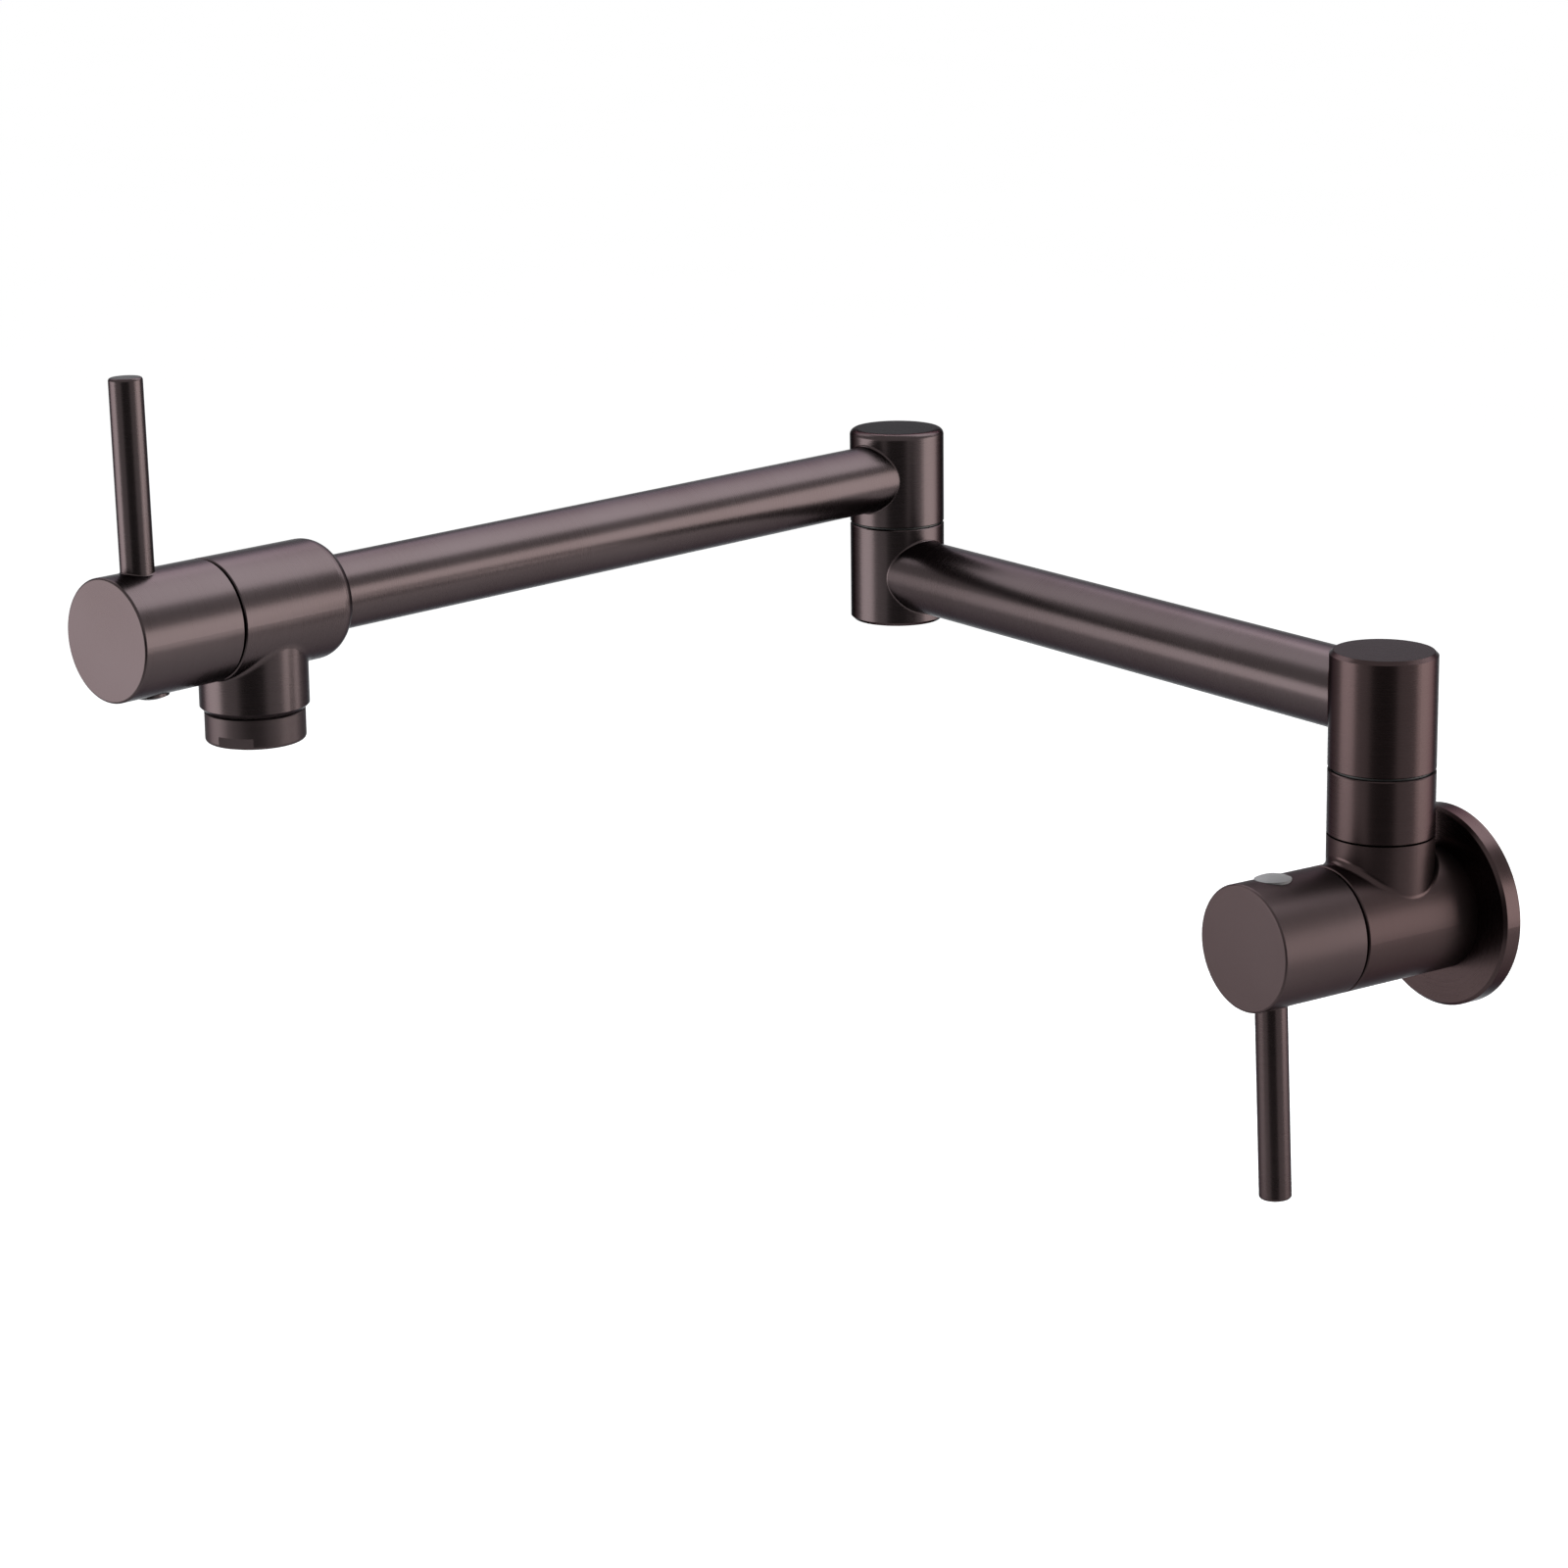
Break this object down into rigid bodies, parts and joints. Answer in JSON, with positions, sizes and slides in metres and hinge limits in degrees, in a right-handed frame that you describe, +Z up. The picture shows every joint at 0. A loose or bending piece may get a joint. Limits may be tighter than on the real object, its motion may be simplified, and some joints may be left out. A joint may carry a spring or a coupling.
{
  "type": "wall mounted folding pot filler faucet",
  "caption": "Wall mounted kitchen pot filler with a double jointed folding arm, a lever valve at the wall and a second lever valve at the spout.",
  "frame": {"origin": "centre of the wall flange's back face, on the wall plane and on the inlet axis", "axes": "+Y into the wall along the inlet, +Z up, +X to the right for someone facing the wall"},
  "size_m": [0.2844, 0.3639, 0.2505],
  "materials": {
    "bronze": "brushed oil rubbed bronze plating",
    "bronze_dark": "brushed oil rubbed bronze plating, the darker wall side",
    "brass": "plain turned brass",
    "steel": "stainless",
    "rubber": "matte black",
    "ceramic": "lapped white",
    "grey_plastic": "light grey, satin",
    "white_plastic": "satin",
    "dark_plastic": "black bearing plastic"
  },
  "bodies": {
    "wall_valve": {"wall_flange": "bronze_dark", "wall_gasket": "rubber", "valve_body": "bronze_dark", "wall_cartridge_seat": "rubber", "wall_fixed_disc": "ceramic", "wall_cartridge_housing": "brass", "wall_gland_nut": "brass", "collar_ring": "bronze_dark", "head_stem": "brass", "head_seal_rings": "rubber", "head_bearing_washer": "dark_plastic", "head_retaining_nut": "brass"},
    "wall_handle": {"wall_turning_disc": "ceramic", "wall_spindle": "brass", "wall_spindle_seal": "rubber", "wall_handle_cap": "bronze", "wall_handle_lever": "bronze", "wall_handle_screw": "steel", "wall_handle_plug": "grey_plastic"},
    "lower_arm": {"swivel_head": "bronze_dark", "swivel_head_cap": "bronze_dark", "lower_arm_tube": "bronze", "elbow_lower_sleeve": "bronze", "elbow_stem": "brass", "elbow_seal_rings": "rubber", "elbow_bearing_washer": "dark_plastic", "elbow_retaining_nut": "brass"},
    "upper_arm": {"elbow_upper_sleeve": "bronze", "elbow_cap": "bronze", "upper_arm_tube": "bronze", "spout_body": "bronze", "spout_cartridge_seat": "rubber", "spout_fixed_disc": "ceramic", "spout_cartridge_housing": "brass", "spout_gland_nut": "brass", "aerator_housing": "bronze", "aerator_insert": "white_plastic", "aerator_screen": "white_plastic", "aerator_washer": "rubber"},
    "spout_handle": {"spout_turning_disc": "ceramic", "spout_spindle": "brass", "spout_spindle_seal": "rubber", "spout_handle_cap": "bronze", "spout_handle_lever": "bronze", "spout_handle_screw": "steel", "spout_handle_plug": "bronze"}
  },
  "joints": [
    {"name": "wall_handle_turn", "type": "hinge", "parent": "wall_valve", "child": "wall_handle", "pos_m": [0, -0.0486, 0], "axis": [0, -1, 0], "range_deg": [0, 90]},
    {"name": "wall_swivel", "type": "hinge", "parent": "wall_valve", "child": "lower_arm", "pos_m": [0, -0.028, 0.0462], "axis": [0, 0, 1], "range_deg": [-1.5, 178.5]},
    {"name": "elbow_swivel", "type": "hinge", "parent": "lower_arm", "child": "upper_arm", "pos_m": [-0.23792, -0.03423, 0.08365], "axis": [0, 0, 1], "continuous": true},
    {"name": "spout_handle_turn", "type": "hinge", "parent": "upper_arm", "child": "spout_handle", "pos_m": [-0.17185, -0.30941, 0.1002], "axis": [0.2334, -0.9724, 0], "range_deg": [0, 90]}
  ]
}
